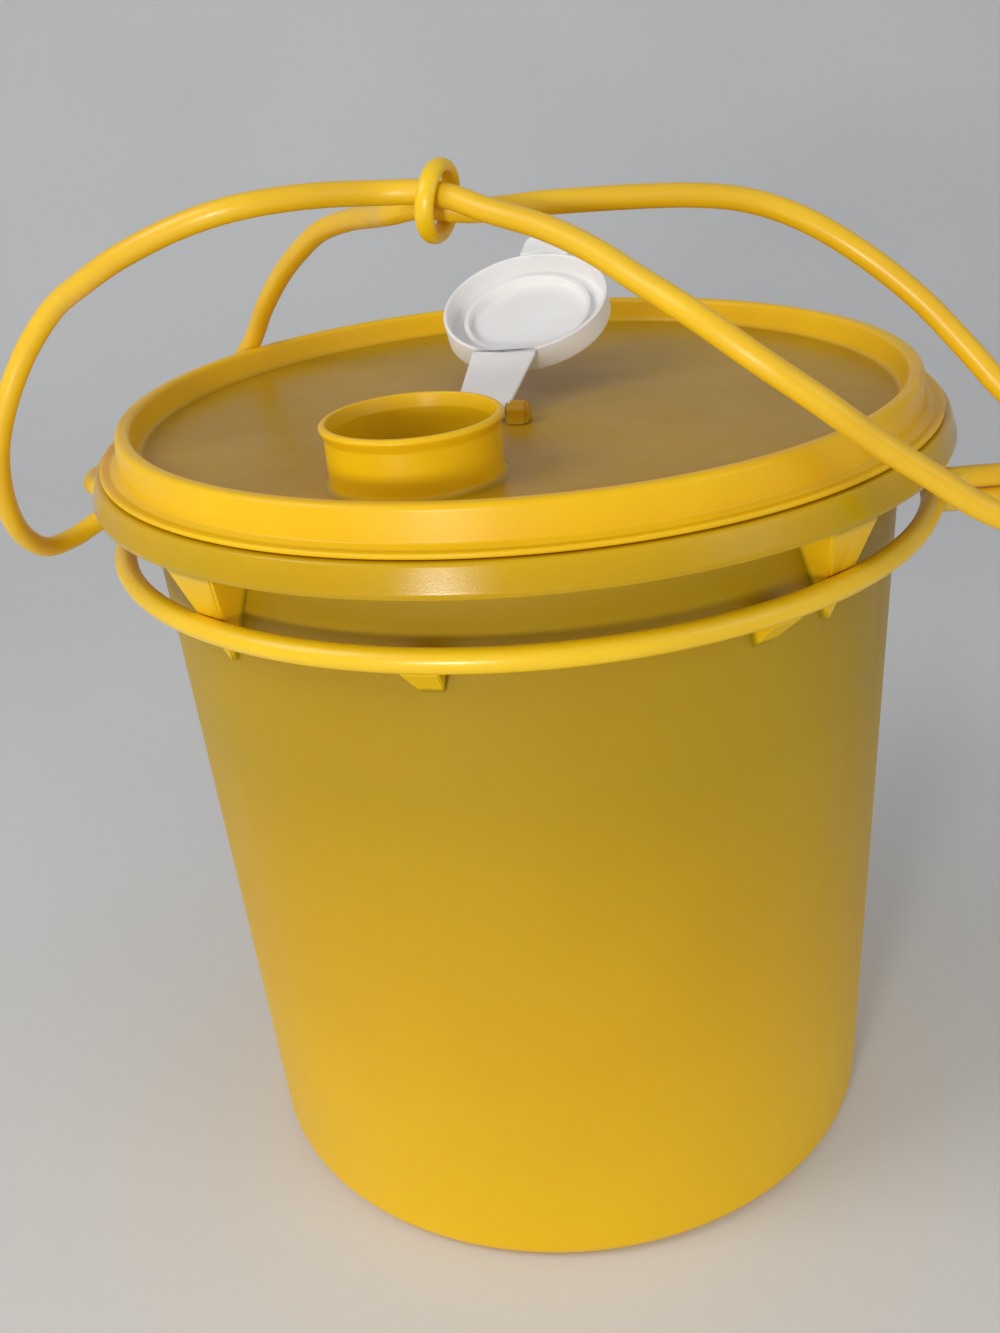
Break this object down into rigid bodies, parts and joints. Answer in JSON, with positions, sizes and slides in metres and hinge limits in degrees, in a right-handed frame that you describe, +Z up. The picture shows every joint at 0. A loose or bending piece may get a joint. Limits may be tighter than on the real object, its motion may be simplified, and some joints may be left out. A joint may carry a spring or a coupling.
{
  "type": "lidded canister with a cord handle",
  "caption": "Round tapered canister with a press-on lid, a pouring spout with a hinged snap cap, and two flexible carrying cords held together by a sliding ring.",
  "frame": {"origin": "middle of the circle that the foot ring stands on", "axes": "+Z up. -Y is the front, where the pouring spout is. +X is to the right, seen from the front."},
  "size_m": [0.3442, 0.2574, 0.3195],
  "materials": {
    "tub_plastic": "slightly translucent polyethylene",
    "lid_plastic": "slightly translucent polyethylene",
    "ring_plastic": "smooth",
    "cord_plastic": "smooth and flexible",
    "cap_plastic": "smooth white"
  },
  "bodies": {
    "tub": {"tub": "tub_plastic", "carry_ring": "ring_plastic"},
    "lid": {"lid": "lid_plastic"},
    "cap_strap": {"cap_strap": "cap_plastic"},
    "spout_cap": {"spout_cap": "cap_plastic"},
    "carry_cords": {"cord_front": "cord_plastic", "cord_back": "cord_plastic"},
    "slider_ring": {"slider_ring": "ring_plastic"}
  },
  "joints": [
    {"name": "lid_lift", "type": "slide", "parent": "tub", "child": "lid", "axis": [0, 0, 1], "range_m": [0, 0.04]},
    {"name": "strap_hinge", "type": "hinge", "parent": "lid", "child": "cap_strap", "pos_m": [-0.01043, -0.01901, 0.2475], "axis": [0.9455, -0.3256, 0], "range_deg": [0, 139.66]},
    {"name": "cap_flex", "type": "hinge", "parent": "cap_strap", "child": "spout_cap", "pos_m": [-0.00271, 0.00341, 0.25805], "axis": [0.9455, -0.3256, 0], "range_deg": [0, 16.35]},
    {"name": "cords_rise", "type": "slide", "parent": "tub", "child": "carry_cords", "axis": [0, 0, 1], "range_m": [0, 0.04], "deforming": ["cord_front", "cord_back", "slider_ring"]},
    {"name": "slider_slide", "type": "slide", "parent": "carry_cords", "child": "slider_ring", "axis": [0.921, -0.356, -0.158], "range_m": [-0.003, 0.003]}
  ],
  "couplings": [
    {"joint": "cap_flex", "follows": "strap_hinge", "ratio": 0.117},
    {"joint": "cords_rise", "follows": "lid_lift", "ratio": 1}
  ]
}
